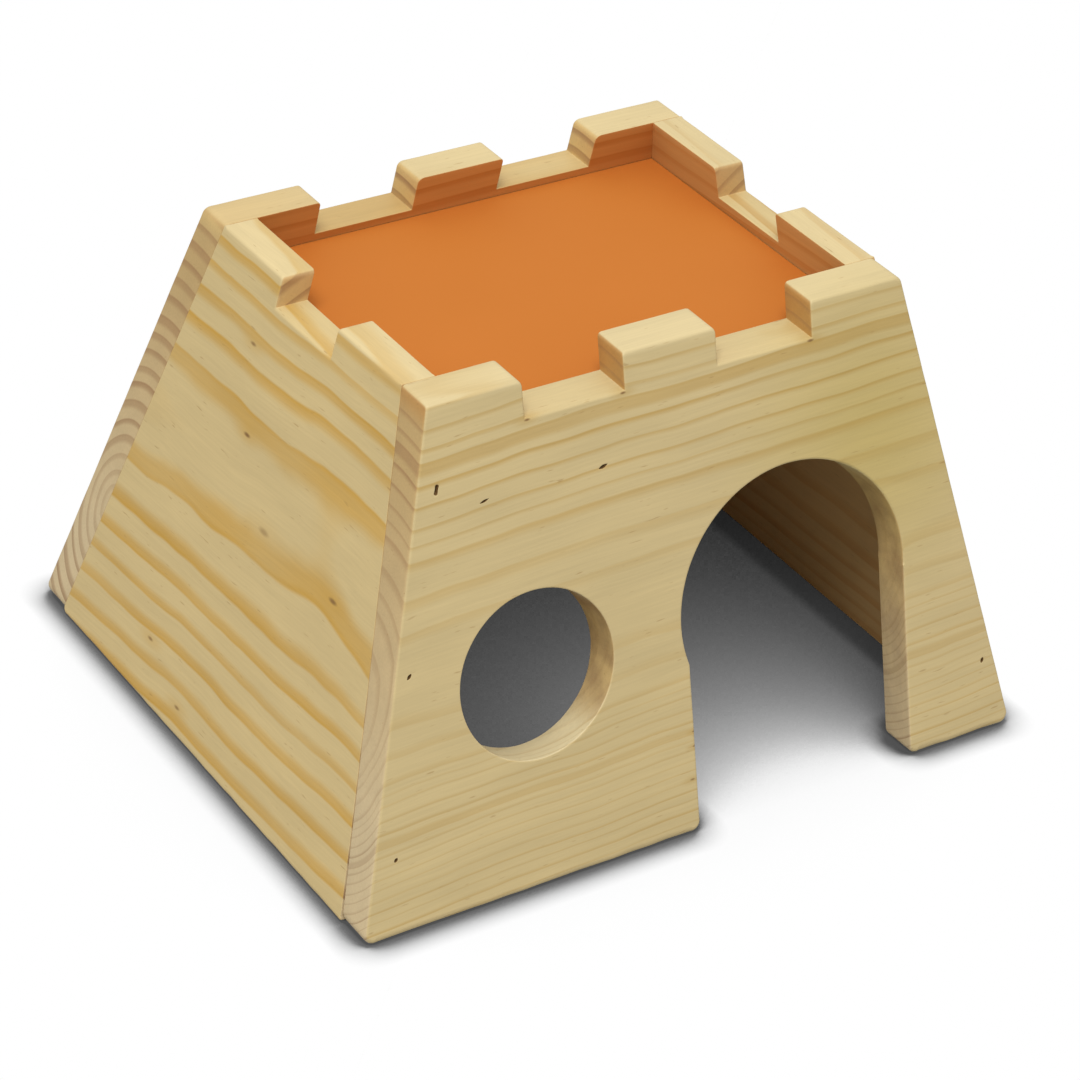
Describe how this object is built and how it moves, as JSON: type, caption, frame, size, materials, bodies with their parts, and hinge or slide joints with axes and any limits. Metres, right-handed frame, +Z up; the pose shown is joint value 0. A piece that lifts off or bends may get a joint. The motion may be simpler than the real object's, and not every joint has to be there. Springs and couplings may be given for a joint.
{
  "type": "wooden hamster house",
  "caption": "Castle-shaped pine house for a hamster: leaning walls with battlements, arched door, round window and an orange roof board.",
  "frame": {"origin": "middle of the footprint on the floor", "axes": "+X along the front to the right as seen from the front, +Y from the front to the back, +Z up"},
  "size_m": [0.2236, 0.1938, 0.1432],
  "materials": {
    "front_pine": "bare sanded pine",
    "back_pine": "bare sanded pine",
    "left_pine": "bare sanded pine, bold flat-sawn figure",
    "right_pine": "bare sanded pine, bold flat-sawn figure",
    "painted_roof": "flat orange water-based paint on wood",
    "steel_brads": "bare steel wire, driven below the surface"
  },
  "bodies": {
    "root": {"front_wall": "front_pine", "back_wall": "back_pine", "left_wall": "left_pine", "right_wall": "right_pine", "roof_board": "painted_roof", "front_left_brads": "steel_brads", "front_right_brads": "steel_brads", "back_left_brads": "steel_brads", "back_right_brads": "steel_brads", "roof_front_brads": "steel_brads", "roof_back_brads": "steel_brads", "roof_left_brads": "steel_brads", "roof_right_brads": "steel_brads"}
  },
  "joints": []
}
